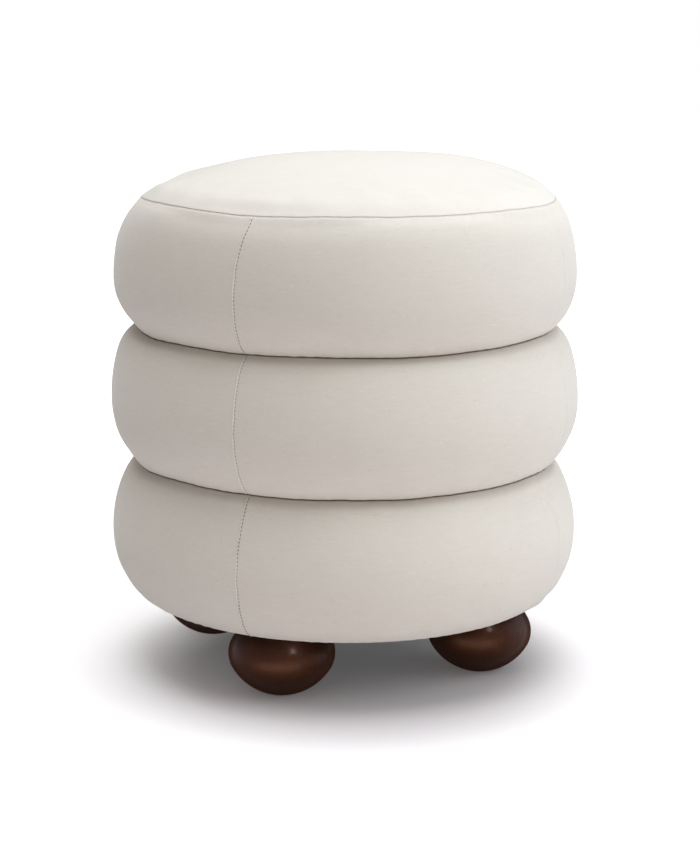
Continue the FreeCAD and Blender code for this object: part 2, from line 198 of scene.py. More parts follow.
def placesAround(radius, angles, height):
    return np.stack(np.broadcast_arrays(radius * np.cos(angles), radius * np.sin(angles), height), -1)


def turnedSurface(outline, angles):
    # places of a turned surface, as rows along the outline and columns round the axis
    return placesAround(outline[:, :1], angles, outline[:, 1:])


def smoothStep(values, low, high):
    share = np.clip((values - low) / (high - low), 0, 1)
    return share * share * (3 - 2 * share)


def hump(distance, width):
    return np.exp(-(distance / width) ** 2)


def apartFrom(angles, direction):
    # signed turn from a direction given in degrees
    return np.remainder(angles - math.radians(direction) + math.pi, fullTurn) - math.pi


# Node trees

def feed(node, inputs):
    # links a socket where it is given one, and sets any other value on the node
    for name, value in inputs.items():
        if isinstance(value, bpy.types.NodeSocket):
            node.id_data.links.new(value, node.inputs[name])
        else:
            node.inputs[name].default_value = value


def addNode(tree, kind, inputs=None, **settings):
    made = tree.nodes.new(kind)
    for name, value in settings.items():
        setattr(made, name, value)
    feed(made, inputs or {})
    return made


def nodeAfter(kind, inputs, **settings):
    # a node in the tree that the sockets among its inputs belong to
    tree = next(value.id_data for value in inputs.values() if isinstance(value, bpy.types.NodeSocket))
    return addNode(tree, kind, inputs, **settings)


def newMaterial(name, values):
    # a material with its Principled shader's own sockets set
    material = bpy.data.materials.new(name)
    material.use_nodes = True
    shader = material.node_tree.nodes["Principled BSDF"]
    feed(shader, values)
    return material, material.node_tree, shader


def newGroup(name, colours, amounts, masks):
    # a shared effect: a place, colours and amounts in, a colour and some masks out
    tree = bpy.data.node_groups.new(name, "ShaderNodeTree")
    sockets = (("INPUT", "Vector", ["Vector"]), ("INPUT", "Color", colours), ("INPUT", "Float", amounts),
               ("OUTPUT", "Color", ["Color"]), ("OUTPUT", "Float", masks))
    for way, kind, names in sockets:
        for socketName in names:
            tree.interface.new_socket(socketName, in_out=way, socket_type="NodeSocket" + kind)
    return tree, addNode(tree, "NodeGroupInput").outputs, addNode(tree, "NodeGroupOutput")


def useGroup(tree, group, inputs):
    return addNode(tree, "ShaderNodeGroup", inputs, node_tree=group).outputs


def objectPlace(tree):
    return addNode(tree, "ShaderNodeTexCoord").outputs["Object"]


def heightPart(normal):
    return nodeAfter("ShaderNodeSeparateXYZ", {0: normal}).outputs["Z"]


def scaled(vector, scale):
    return nodeAfter("ShaderNodeVectorMath", {0: vector, 1: scale}, operation="MULTIPLY").outputs[0]


def noiseOf(vector, scale, detail=2.0, roughness=0.5):
    # scale is one number, or three where the noise is drawn out along an axis
    if isinstance(scale, tuple):
        vector, scale = scaled(vector, scale), 1.0
    return nodeAfter("ShaderNodeTexNoise", {
        "Vector": vector, "Scale": scale, "Detail": detail, "Roughness": roughness}).outputs["Fac"]


def mapped(value, fromLow, fromHigh, toLow=0.0, toHigh=1.0, kind="LINEAR"):
    inputs = {"Value": value, "From Min": fromLow, "From Max": fromHigh, "To Min": toLow, "To Max": toHigh}
    return nodeAfter("ShaderNodeMapRange", inputs, interpolation_type=kind).outputs["Result"]


def eased(value, fromLow, fromHigh, toLow=0.0, toHigh=1.0):
    return mapped(value, fromLow, fromHigh, toLow, toHigh, "SMOOTHSTEP")


def maths(operation, first, second=0.0):
    return nodeAfter("ShaderNodeMath", {0: first, 1: second}, operation=operation).outputs[0]


def times(first, second):
    return maths("MULTIPLY", first, second)


def plus(first, second):
    return maths("ADD", first, second)


def minus(first, second):
    return maths("SUBTRACT", first, second)


def blended(amount, first, second):
    # a colour between the first and the second
    return nodeAfter("ShaderNodeMix", {0: amount, 6: first, 7: second}, data_type="RGBA").outputs[2]


def relief(height, distance, strength=1.0):
    inputs = {"Height": height, "Distance": distance, "Strength": strength}
    return nodeAfter("ShaderNodeBump", inputs).outputs["Normal"]


# Effects shared by several materials; their scales are waves to the metre

pileScale = {"cloud": 16.0, "rows": (55.0, 55.0, 480.0), "slubs": (190.0, 190.0, 640.0), "tufts": 1500.0}


def makePileGroup():
    # short soft pile: broad cloudy patches, level rows from the loom, sparse slubs and single tufts
    tree, given, out = newGroup("shortPile", ["Color"], ["Cloud", "Rows", "Slubs", "Tufts"], ["Height"])
    vector = given["Vector"]
    rows = noiseOf(vector, pileScale["rows"], 3.0, 0.6)
    tufts = noiseOf(vector, pileScale["tufts"], 2.0, 0.6)
    slub = noiseOf(vector, pileScale["slubs"], 1.0)
    thick, thin = mapped(slub, 0.66, 0.8, 0.5, 1.5), mapped(slub, 0.2, 0.34, 1.0, 0.0)
    masks = {"Cloud": noiseOf(vector, pileScale["cloud"], 4.0), "Rows": rows,
             "Slubs": minus(thick, thin), "Tufts": tufts}
    shade = 1.0
    for amount, mask in masks.items():
        shade = plus(times(minus(mask, 0.5), given[amount]), shade)
    colour = nodeAfter("ShaderNodeVectorMath", {0: given["Color"], "Scale": shade}, operation="SCALE")
    feed(out, {"Color": colour.outputs[0], "Height": plus(times(rows, 0.4), tufts)})
    return tree


woodScale = {"bend": (9.0, 9.0, 2.5), "rings": (1.0, 0.45, 0.08), "ringWave": 0.3, "ringBend": 16.0,
             "fibre": (900.0, 900.0, 30.0), "pore": (1400.0, 1400.0, 95.0)}


def makeWoodGroup():
    # growth rings, long fibres and short dark pores, all running along the vector's Z
    colours, amounts = ["Pale", "Dark", "Pore"], ["Rings", "RingShare", "Pores"]
    tree, given, out = newGroup("woodGrain", colours, amounts, ["Height", "Fibre"])
    vector = given["Vector"]
    bend = times(noiseOf(vector, woodScale["bend"]), woodScale["ringBend"])
    waves = {
        "Vector": scaled(vector, woodScale["rings"]), "Distortion": 0.0, "Detail": 0.0, "Phase Offset": bend,
        "Scale": times(given["Rings"], woodScale["ringWave"])}
    rings = addNode(tree, "ShaderNodeTexWave", waves, bands_direction="X").outputs["Fac"]
    fibre = noiseOf(vector, woodScale["fibre"], 3.0, 0.6)
    pore = noiseOf(vector, woodScale["pore"], 1.0)
    amount = plus(fibre, times(minus(rings, fibre), given["RingShare"]))
    colour = blended(mapped(amount, 0.25, 0.8), given["Pale"], given["Dark"])
    pores = times(mapped(pore, 0.6, 0.72), given["Pores"])
    feed(out, {
        "Color": blended(pores, colour, given["Pore"]), "Fibre": fibre,
        "Height": minus(times(fibre, 0.5), pores)})
    return tree


def makeSpeckGroup():
    # fine specks over a base colour, for board, foam, twine, cloth and bare metal
    tree, given, out = newGroup("specks", ["Color", "Speck"], ["Size", "Amount"], ["Height"])
    fine = noiseOf(given["Vector"], given["Size"], 3.0, 0.6)
    mask = times(mapped(fine, 0.42, 0.68), given["Amount"])
    feed(out, {"Color": blended(mask, given["Color"], given["Speck"]), "Height": fine})
    return tree


shortPile = makePileGroup()
woodGrain = makeWoodGroup()
specks = makeSpeckGroup()


# Materials

coverLook = {
    "color": (0.80, 0.745, 0.675, 1),
    # the crown's copy is tinted a little cooler, painted to stand in for the light that falls on the top
    "crownLitColor": (0.80, 0.75, 0.688, 1),
    "nap": 1.2, "crownNap": 0.75,  # how much of the pile still stands up
    "cloud": 0.05, "rows": 0.07, "slubs": 0.07, "tufts": 0.12, "pileHeight": 0.14 * mm,
    "seamShade": (0.17, 0.135, 0.105, 1),
    "stitch": 3.6 * mm, "holeWidth": 0.75 * mm,
    "holeSpan": (0.09, 0.24),  # a hole's soft edge, as shares of a stitch
    "sway": 0.4 * mm, "swayWave": 70.0,
    "faintest": 0.45, "faintWave": 21.0,  # stretches of a seam where its needle holes show less
    "sunk": 1.5,  # how deep a joint lies in the pile's height
    "seamDark": (0.8, 0.16),  # in the needle holes, between them
    "rimLine": 0.75 * mm, "rimDark": (0.25, 0.6),
    # painted highlight on the folded edge beside a seam: its strength, and where it rises and falls across
    # the seam
    "ridgeHighlight": 0.7, "ridgeSides": (-1.7 * mm, -1.1 * mm, -0.9 * mm, -0.4 * mm),
    # painted shade along each crease: its colour, a thin dark line, and a softer shadow on the shoulder below
    "creaseShade": (0.16, 0.11, 0.08, 1),
    "creaseLine": 0.5 * mm, "creaseLineShade": 0.6,
    "creaseShadowBelow": 0.33, "shadowBelowReach": (3 * mm, 13 * mm),
}
seamFields = ("seamOffset", "seamAlong", "rimOffset", "rimAlong", "creaseOffset")


def needleHoles(along):
    # one soft spot for each stitch along a seam
    phase = maths("FRACT", maths("DIVIDE", along, coverLook["stitch"]))
    fromHole = maths("ABSOLUTE", minus(phase, 0.5))
    return eased(fromHole, *coverLook["holeSpan"], 1.0, 0.0)


def darkened(joint, holes, shares):
    # how dark a seam is: one share in its needle holes, another all along it
    return times(joint, plus(times(holes, shares[0]), shares[1]))


def makeCoverMaterial(name, colour, nap):
    look = coverLook
    material, tree, shader = newMaterial(name, {
        "Roughness": 0.92, "Sheen Weight": 0.35, "Sheen Roughness": 0.45, "Specular IOR Level": 0.15})
    place = objectPlace(tree)
    pile = useGroup(tree, shortPile, {
        "Vector": place, "Color": colour, "Cloud": look["cloud"], "Rows": nap * look["rows"],
        "Slubs": nap * look["slubs"], "Tufts": nap * look["tufts"]})
    field = {name: addNode(tree, "ShaderNodeAttribute", attribute_name=name).outputs["Fac"]
             for name in seamFields}
    # needle holes show more along some stretches of a seam, the painted highlight on the folded edge beside
    # them along others
    stretch = eased(noiseOf(place, look["faintWave"], 1.0), 0.40, 0.58, look["faintest"], 1.0)
    # the hand-guided seam wanders a little
    sway = mapped(noiseOf(place, look["swayWave"]), 0.3, 0.7, -look["sway"], look["sway"])
    offset = plus(field["seamOffset"], sway)
    joint = eased(maths("ABSOLUTE", offset), look["holeWidth"] * 0.4, look["holeWidth"], 1.0, 0.0)
    holes = times(needleHoles(field["seamAlong"]), stretch)
    seam = darkened(joint, holes, look["seamDark"])
    rimJoint = eased(field["rimOffset"], look["rimLine"] * 0.5, look["rimLine"], 1.0, 0.0)
    rim = darkened(rimJoint, needleHoles(field["rimAlong"]), look["rimDark"])
    mask = maths("MAXIMUM", seam, rim)
    # painted highlight: the folded edge beside a seam is whitened where it catches the light
    outer, upper, lower, inner = look["ridgeSides"]
    ridgeHighlight = times(eased(offset, outer, upper, 0.0, look["ridgeHighlight"]),
                  eased(offset, lower, inner, 1.0, 0.0))
    ridgeHighlight = times(ridgeHighlight, minus(1.1, stretch))
    colour = blended(ridgeHighlight, pile["Color"], white)
    colour = blended(mask, colour, look["seamShade"])
    # painted shade: a thin dark line along each crease, where two tiers meet
    paintedCreaseLine = eased(field["creaseOffset"], 0.0, look["creaseLine"], look["creaseLineShade"], 0.0)
    colour = blended(paintedCreaseLine, colour, look["creaseShade"])
    # painted shadow: a softer dark band on the upward-facing shoulder below, where the tier above shades it
    upward = heightPart(addNode(tree, "ShaderNodeNewGeometry").outputs["Normal"])
    near, far = look["shadowBelowReach"]
    shadowBelow = times(eased(field["creaseOffset"], near, far, look["creaseShadowBelow"], 0.0),
                 eased(upward, 0.0, 0.4))
    feed(shader, {
        "Base Color": blended(shadowBelow, colour, look["creaseShade"]),
        "Normal": relief(minus(pile["Height"], times(mask, look["sunk"])), look["pileHeight"], 0.6)})
    return material


threadLook = {"dark": (0.62, 0.57, 0.50, 1), "pale": (0.80, 0.76, 0.69, 1), "plies": 900.0,
              "depth": 0.05 * mm}


def makeThreadMaterial():
    look = threadLook
    material, tree, shader = newMaterial("seamThread", {
        "Roughness": 0.6, "Sheen Weight": 0.2, "Specular IOR Level": 0.3})
    plies = {"Vector": objectPlace(tree), "Scale": look["plies"], "Distortion": 1.0}
    twist = addNode(tree, "ShaderNodeTexWave", plies, bands_direction="DIAGONAL").outputs["Fac"]
    feed(shader, {
        "Base Color": blended(twist, look["dark"], look["pale"]), "Normal": relief(twist, look["depth"])})
    return material


walnutLook = {
    "pale": (0.040, 0.012, 0.005, 1),
    "dark": (0.017, 0.005, 0.002, 1),
    "pore": (0.008, 0.003, 0.002, 1),
    # endShade is how much painted shade darkens the top and bottom faces of a foot
    "rings": 60.0, "ringShare": 0.10, "pores": 0.7, "endShade": 0.6,
    "gloss": 0.17, "glossTint": (1.0, 0.5, 0.35, 1), "coat": 0.12,
    "dulling": (0.3, 0.8),  # how far the lacquer faces away where its gleam begins to fade, and ends
}


def makeWalnutMaterial():
    look = walnutLook
    material, tree, shader = newMaterial("walnut", {
        "Specular IOR Level": look["gloss"], "Specular Tint": look["glossTint"], "Coat Roughness": 0.2,
        "Coat IOR": 1.3})
    grain = useGroup(tree, woodGrain, {
        "Vector": objectPlace(tree), "Pale": look["pale"], "Dark": look["dark"], "Pore": look["pore"],
        "Rings": look["rings"], "RingShare": look["ringShare"], "Pores": look["pores"]})
    # painted shade: a foot is darkened on its top and bottom faces, where the body above and the shadowed
    # floor below shade it
    upward = heightPart(addNode(tree, "ShaderNodeTexCoord").outputs["Normal"])
    paintedEndShade = eased(maths("ABSOLUTE", upward), 0.3, 0.85, 0.0, look["endShade"])
    # rubbed lacquer gleams where it is looked at squarely and turns dull towards its outline
    facing = addNode(tree, "ShaderNodeLayerWeight").outputs["Facing"]
    fibre = mapped(grain["Fibre"], 0.3, 0.7, 0.40, 0.58)
    feed(shader, {
        "Base Color": blended(paintedEndShade, grain["Color"], look["pore"]),
        "Roughness": maths("MAXIMUM", fibre, eased(facing, *look["dulling"])),
        "Coat Weight": eased(facing, *look["dulling"], look["coat"], 0.0),
        "Normal": relief(grain["Height"], 0.08 * mm, 0.5)})
    return material


timbers = {
    "birchPly": {"pale": (0.55, 0.40, 0.25, 1), "dark": (0.38, 0.25, 0.14, 1), "rings": 60.0,
                 "run": (0.15, 1, 1)},
    "framePine": {"pale": (0.62, 0.44, 0.25, 1), "dark": (0.44, 0.27, 0.12, 1), "rings": 110.0,
                  "run": (1, 1, 1)},
}


def makeTimberMaterial(name, pale, dark, rings, run):
    # run stretches the grain along an axis
    material, tree, shader = newMaterial(name, {"Roughness": 0.7, "Specular IOR Level": 0.3})
    pore = tuple(0.6 * part for part in dark[:3]) + (1,)
    grain = useGroup(tree, woodGrain, {
        "Vector": scaled(objectPlace(tree), run), "Pale": pale, "Dark": dark, "Pore": pore, "Rings": rings,
        "RingShare": 0.5, "Pores": 0.3})
    feed(shader, {
        "Base Color": grain["Color"], "Roughness": mapped(grain["Fibre"], 0.3, 0.7, 0.6, 0.8),
        "Normal": relief(grain["Height"], 0.1 * mm, 0.5)})
    return material


speckled = {
    "tackBoard": {"color": (0.33, 0.26, 0.19, 1), "speck": (0.20, 0.15, 0.11, 1), "size": 700.0,
                  "amount": 0.6, "depth": 0.1 * mm, "roughness": 0.9},
    "cutFoam": {"color": (0.78, 0.70, 0.46, 1), "speck": (0.55, 0.46, 0.26, 1), "size": 900.0, "amount": 0.7,
                "depth": 0.5 * mm, "roughness": 0.95},
    "twine": {"color": (0.50, 0.38, 0.24, 1), "speck": (0.30, 0.21, 0.12, 1), "size": 1500.0, "amount": 0.5,
              "depth": 0.15 * mm, "roughness": 0.9},
    "blackCambric": {"color": (0.022, 0.022, 0.024, 1), "speck": (0.045, 0.045, 0.048, 1), "size": 1300.0,
                     "amount": 0.8, "depth": 0.12 * mm, "roughness": 0.85},
    "zincSteel": {"color": (0.62, 0.62, 0.60, 1), "speck": (0.48, 0.47, 0.43, 1), "size": 300.0,
                  "amount": 0.6, "depth": 0.02 * mm, "roughness": 0.38, "metallic": 1.0},
}


def makeSpeckMaterial(name, color, speck, size, amount, depth, roughness, metallic=0.0):
    material, tree, shader = newMaterial(name, {"Metallic": metallic})
    marks = useGroup(tree, specks, {
        "Vector": objectPlace(tree), "Color": color, "Speck": speck, "Size": size, "Amount": amount})
    feed(shader, {
        "Base Color": marks["Color"],
        "Roughness": mapped(marks["Height"], 0.3, 0.7, roughness * 0.85, roughness),
        "Normal": relief(marks["Height"], depth, 0.6)})
    return material


finish = {
    "cover": makeCoverMaterial("coverFabric", coverLook["color"], coverLook["nap"]),
    "crown": makeCoverMaterial("crownFabric", coverLook["crownLitColor"], coverLook["crownNap"]),
    "thread": makeThreadMaterial(),
    "walnut": makeWalnutMaterial(),
}
finish.update({name: makeTimberMaterial(name, **look) for name, look in timbers.items()})
finish.update({name: makeSpeckMaterial(name, **look) for name, look in speckled.items()})
print("materials made")


# Padded covers: a crowned top panel and three sleeves, each sewn from four panels

coverShape = {
    "creasePadding": 17 * mm, "edgeThickness": 2 * mm, "cordThickness": 4 * mm,
    "gap": 0.3 * mm, "lipGap": 0.1 * mm,
    "hemInset": 33 * mm, "hemWidth": 26 * mm,
    "bellySoftness": 1.6 * mm, "lipSoftness": 0.8 * mm,
    "slotDepth": 8 * mm, "slotGap": 0.1 * mm,
    "seamDepth": 0.3 * mm, "seamWidth": 0.6 * mm,
    "foldHeight": 0.5 * mm, "foldOffset": 1.2 * mm, "foldWidth": 0.7 * mm,
    "rimDepth": 0.7 * mm, "rimWidth": 0.8 * mm,
    "seamReach": 3 * mm,  # a seam runs this far into a crease
    "creaseWave": 0.45 * mm,
    "creaseWaves": ((0.55, 4, 9), (0.45, 14, 44)),  # share, slowest and fastest round the axis
    "dents": 0.35 * mm,
    "dentWaves": (3, 12, 80 * mm, 260 * mm),  # slowest and fastest round the axis, shortest and longest along
    "edgeReach": 12 * mm,  # the filling's dents fade over this towards an edge
    "columns": 486,
    "besideSeam": (0, 0.25, 0.5, 0.8, 1.15, 1.5, 1.9, 2.4, 3.2, 4.4, 6.0, 8.0),  # close columns, in mm
    "spacing": ((3 * mm, 0.45 * mm), (8 * mm, 0.9 * mm), (math.inf, 2.6 * mm)),  # from a lip, rows there
}

crownShape = {"rimInset": 22.4 * mm, "arcShare": 1.16, "shoulderShare": 0.11, "padding": 13 * mm,
              "foamFlatRadius": 90 * mm, "hole": 1.5 * mm, "rimReach": 15 * mm, "strayReach": 60 * mm,
              "easeFrom": 70 * mm, "seed": 14}

waistRadius = foamRadius + coverShape["creasePadding"]
bendRadius = waistRadius - 4 * mm  # outside this the fabric follows its edge's strays in full
liningRadius = foamRadius + coverShape["gap"]
edgeInnerRadius = drumRadius + 2 * coverShape["gap"] + coverShape["cordThickness"]
rimRadius = halfWidth("upper_sleeve") - crownShape["rimInset"]

# where each sewn edge strays from its level: angle in degrees, rise, half width in degrees
edgeStrays = {
    "rim": ((-136, -2.3 * mm, 16), (-92, -0.6 * mm, 30), (-38, -2.3 * mm, 18), (155, -3.5 * mm, 24)),
    "upperCrease": ((-177, -3.2 * mm, 17), (-141, -1.6 * mm, 15), (-94, -1.3 * mm, 15), (-53, 1.0 * mm, 13)),
    "lowerCrease": ((177, -4.4 * mm, 15), (-145, -0.9 * mm, 14), (-124, -1.2 * mm, 10), (-96, -1.2 * mm, 12),
                    (-66, -1.2 * mm, 18), (-30, -4.4 * mm, 16)),
    "hem": (),
}
# the rim's shoulder gives way on one side: angle and half width in degrees, inset, height that it fades over
shoulderEase = {"angle": 158, "width": 28, "inset": 4.5 * mm, "reach": 45 * mm}
# soft mounds and hollows of the crown: angle in degrees, radius, rise, half width
crownMounds = ((2, 138 * mm, 6.5 * mm, 66 * mm), (150, 172 * mm, -6.0 * mm, 46 * mm))

tiers = {
    "upperCover": {
        "node": "upper_sleeve", "bellyHeight": 50 * mm, "topEdge": "rim", "bottomEdge": "upperCrease",
        "shares": (1.25, 0.45), "seamAngles": (-138.0, -44.7, 45.5, 134.0), "seed": 11,
        "drift": ((0, 0), (0.55, 0), (0.72, 0.4), (0.86, 1.4), (1, 2.6)),
    },
    "middleCover": {
        "node": "middle_sleeve", "bellyHeight": 60.5 * mm,
        "topEdge": "upperCrease", "bottomEdge": "lowerCrease",
        "shares": (1.432, 0.376), "seamAngles": (-137.4, -43.6, 46.5, 135.5), "seed": 12,
    },
    "lowerCover": {
        "node": "lower_sleeve", "bellyHeight": 66 * mm, "topEdge": "lowerCrease", "bottomEdge": "hem",
        "shares": (1.122, 0.382), "underShares": (1.15, 0.5), "seamAngles": (-136.7, -46.5, 44.0, 137.0),
        "seed": 13,
    },
}
edges = {
    "rim": (rimRadius, rimHeight),
    "upperCrease": (waistRadius, upperCrease),
    "lowerCrease": (waistRadius, lowerCrease),
    "hem": (halfWidth("lower_sleeve") - coverShape["hemInset"], hemHeight),
}


def edgeStray(edge, angles, radii):
    # how far an edge strays up or down, with its turned-in part held at its level
    seed = int(round(edges[edge][1] / mm))
    stray = sum(rise * hump(apartFrom(angles, middle), math.radians(width))
                for middle, rise, width in edgeStrays[edge])
    if edgeStrays[edge]:
        wave = sum(share * wavesAround(angles, seed + step, slowest, fastest)
                   for step, (share, slowest, fastest) in enumerate(coverShape["creaseWaves"]))
        stray = stray + coverShape["creaseWave"] * wave
    return stray * smoothStep(radii, foamRadius + 1 * mm, bendRadius)


def shoulderInset(angles, heights):
    # how far the rim's shoulder is drawn towards the axis
    ease = shoulderEase
    rise = smoothStep(heights, rimHeight - ease["reach"], rimHeight)
    return ease["inset"] * hump(apartFrom(angles, ease["angle"]), math.radians(ease["width"])) * rise


def seamColumns(seamAngles, radius):
    # even columns round the axis, with close ones beside each seam
    offsets = np.array(coverShape["besideSeam"]) * mm / radius
    offsets = np.concatenate([-offsets[:0:-1], offsets])
    even = evenAngles(coverShape["columns"])
    clear = np.min([np.abs(apartFrom(even, seam)) for seam in seamAngles], axis=0) > offsets[-1] + 0.002
    beside = [(math.radians(seam) + offsets) % fullTurn for seam in seamAngles]
    return np.sort(np.concatenate([even[clear], *beside]))


def seamOffsets(angles, seamAngles):
    # signed angle from each column to its nearest seam
    apart = np.stack([apartFrom(angles, seam) for seam in seamAngles])
    return apart[np.argmin(np.abs(apart), axis=0), np.arange(len(angles))]


def outsideOf(tier):
    # outer line of a sleeve, from its lower edge up to its upper one, run on into the creases
    shape = coverShape
    belt = (halfWidth(tier["node"]), bottomOf(tier["node"]) + tier["bellyHeight"])
    ends = []
    for edge, side in ((tier["bottomEdge"], 1), (tier["topEdge"], -1)):
        creased = edge.endswith("Crease")
        radius, height = edges[edge]
        level = height + side * shape["slotGap"] * creased
        slot = [(radius - shape["slotDepth"], level), (radius - 1 * mm, level)] if creased else []
        ends.append(((radius, level), np.array(slot).reshape(-1, 2)))
    (bottom, lowerSlot), (top, upperSlot) = ends
    under = twoArcHalf(belt, (bottom[0], 2 * belt[1] - bottom[1]), *tier.get("underShares", (1.02, 0.9)))
    under[:, 1] = 2 * belt[1] - under[:, 1]
    over = twoArcHalf(belt, top, *tier["shares"])
    line = np.concatenate([lowerSlot, under[::-1], over[1:], upperSlot[::-1]])
    return softened(respaced(line, outlineStep), shape["bellySoftness"])


def insideOf(tier):
    # turned-in upper edge, lining against the foam, turned-in lower edge
    shape = coverShape
    top, bottom = edges[tier["topEdge"]][1], edges[tier["bottomEdge"]][1]
    edge, gap = shape["edgeThickness"], shape["lipGap"]
    turnedIn = foamRadius - shape["hemWidth"] if tier["bottomEdge"] == "hem" else edgeInnerRadius
    return np.array([(edgeInnerRadius, top - gap), (edgeInnerRadius, top - edge), (liningRadius, top - edge),
                     (liningRadius, bottom + edge), (turnedIn, bottom + edge), (turnedIn, bottom + gap)])


def spacedByNeed(points, along, lips):
    # keeps close points at the lips and every few elsewhere
    keep = [0]
    for index in range(1, len(points)):
        nearest = min(abs(along[index] - lip) for lip in lips)
        wanted = next(step for reach, step in coverShape["spacing"] if nearest < reach)
        if along[index] - along[keep[-1]] >= wanted:
            keep.append(index)
    return keep


def outwardOf(line, along, angles):
    slope = np.gradient(line, along, axis=0)
    normal = np.stack([slope[:, 1], -slope[:, 0]], 1)
    return turnedSurface(normal / np.hypot(*normal.T)[:, None], angles)


# Filling: a coarse copy of each outer skin is held at its first rows and its seams, blown up as cloth
# and read back

fillShape = {
    "rows": 26, "columns": 144, "heldRows": 2,  # at a sleeve's lower edge and the crown's rim
    "frames": 20, "quality": 5, "pressure": 4.0, "mass": 0.3, "tension": 18.0, "bending": 0.6,
    "excess": 0.012,  # how much larger the cloth is cut than its outline
    "limit": 1.3 * mm, "smoothing": 0.03,
}


def filledSkin(name, line, seamAngles):
    # the skin after filling, as how far each of its places moved along its own normal
    fill = fillShape
    angles = evenAngles(fill["columns"])
    start = turnedSurface(line, angles)
    rows, columns = start.shape[:2]
    piece = makePiece(name + "Filling", start, gridFaces(rows, columns, False).tolist(), finish["cover"])
    fixed = set(range(fill["heldRows"] * columns))
    for seam in seamAngles:
        column = int(round(math.radians(seam) % fullTurn / fullTurn * columns)) % columns
        fixed.update(row * columns + column for row in range(rows))
    piece.vertex_groups.new(name="held").add(sorted(fixed), 1.0, "REPLACE")
    cloth = piece.modifiers.new("filling", "CLOTH")
    cloth.point_cache.frame_end = fill["frames"]
    settings = cloth.settings
    settings.quality = fill["quality"]
    settings.mass = fill["mass"]
    settings.tension_stiffness = settings.compression_stiffness = fill["tension"]
    settings.shear_stiffness = fill["tension"] / 3
    settings.bending_stiffness = fill["bending"]
    settings.vertex_group_mass = "held"
    settings.shrink_min = -fill["excess"]
    settings.use_pressure = True
    settings.uniform_pressure_force = fill["pressure"]
    settings.effector_weights.gravity = 0.0
    cloth.collision_settings.use_self_collision = False
    scene = bpy.context.scene
    for step in range(1, fill["frames"] + 1):
        scene.frame_set(step)
    evaluated = piece.evaluated_get(bpy.context.evaluated_depsgraph_get())
    end = np.empty(start.size, dtype=np.float32)
    evaluated.to_mesh().vertices.foreach_get("co", end)
    evaluated.to_mesh_clear()
    bpy.data.objects.remove(piece)
    scene.frame_set(1)
    return ((end.reshape(start.shape) - start) * outwardOf(line, lengthsAlong(line), angles)).sum(-1)


def fillingPush(name, line, seamAngles, shares, angles):
    # unevenness that the filling gives the skin, at any shares of its outline and any angles
    fill = fillShape
    coarse = respaced(line, 1 * mm)
    coarse = coarse[np.linspace(0, len(coarse) - 1, fill["rows"]).astype(int)]
    moved = filledSkin(name, coarse, seamAngles)
    moved -= moved.mean(axis=1, keepdims=True)
    print(name, "filled, unevenness in mm", round(float(np.abs(moved).max()) / mm, 2))
    moved = fill["limit"] * np.tanh(moved / fill["limit"])
    # read as waves round the axis, so that the fine mesh takes them up without steps
    waves = np.fft.rfft(moved, axis=1) / moved.shape[1]
    turns = np.arange(waves.shape[1])
    waves *= np.exp(-(turns * fill["smoothing"]) ** 2)
    waves[:, 1:] *= 2
    places, even = np.linspace(0, 1, len(coarse)), np.linspace(0, 1, 400)

    def alongOutline(values):
        return np.interp(shares, even, softenedRow(np.interp(even, places, values), 36, 10))

    columns = np.array([alongOutline(wave.real) + 1j * alongOutline(wave.imag) for wave in waves.T])
    turning = np.exp(1j * turns[:, None] * np.atleast_2d(angles)[0][None, :])
    return (columns.T @ turning).real


def seamDrift(tier, share):
    # a sleeve is drawn on slightly twisted, so its seams lean; the pairs are share of its height and angle
    places, turns = zip(*tier.get("drift", ((0, 0), (1, 0))))
    even = np.linspace(0, 1, 201)
    drift = softenedRow(np.interp(even, places, turns), 30, 12)
    return np.radians(np.interp(share, even, drift))


hemPleats = {"count": 96, "height": 0.35 * mm, "sharpness": 0.7, "wander": 1.5, "reach": 5 * mm, "seed": 41}


def hemGathers(angles, radii, heights):
    # small pleats where the fabric turns under the base
    shape = hemPleats
    phase = 0.5 * shape["count"] * angles + shape["wander"] * wavesAround(angles, shape["seed"], 3, 11)
    uneven = 0.6 + 0.4 * wavesAround(angles, shape["seed"] + 1, 9, 30)
    pleat = np.abs(np.sin(phase)) ** shape["sharpness"] * uneven
    turned = 1 - smoothStep(heights, hemHeight + coverShape["gap"], hemHeight + shape["reach"])
    return shape["height"] * pleat * turned * smoothStep(radii, foamRadius - 1 * mm, foamRadius + 3 * mm)


edgePuckers = {"height": 0.35 * mm, "reach": 11 * mm, "waves": (60, 130, 11), "stretches": (3, 11)}


def puckers(angles, fromEdge, seed):
    # small gathers that run into a drawn-in or sewn edge, deeper along some stretches
    shape = edgePuckers
    gathers = wavesAround(angles, seed + 20, *shape["waves"])
    stretch = 0.35 + 0.65 * wavesAround(angles, seed + 21, *shape["stretches"]) ** 2
    return shape["height"] * gathers * stretch * hump(fromEdge, shape["reach"])


seamDimples = {"height": 0.16 * mm, "wave": 9 * mm, "wander": 23 * mm, "stretch": 31 * mm, "reach": 7 * mm,
               "start": 1.5 * mm, "sides": (1.7, 0.4)}


def seamPuckers(across, along, apart, seed):
    # faint dimples beside a vertical seam, where its thread pulls
    shape = seamDimples
    side = np.where(apart > 0, *shape["sides"])[None, :]
    wave = np.sin(fullTurn * along / shape["wave"] + side + 2.5 * np.sin(along / shape["wander"] + seed))
    stretch = 0.3 + 0.7 * np.sin(along / shape["stretch"] + 2 * seed + side) ** 2
    near, joint = hump(across, shape["reach"]), hump(across, shape["start"])
    return shape["height"] * wave * stretch * near * (1 - joint)


farAway = 20 * mm


def addSeamFields(piece, outer, fields):
    # distances from the seams and creases and lengths along them, which the cover's material reads
    for name, values in zip(seamFields, fields):
        values = np.where(outer > 0, np.clip(values, -farAway, None), farAway)
        field = piece.data.attributes.new(name, "FLOAT", "POINT")
        spread = np.broadcast_to(values, np.shape(fields[0]))
        field.data.foreach_set("value", np.ascontiguousarray(spread, dtype=np.float32).ravel())


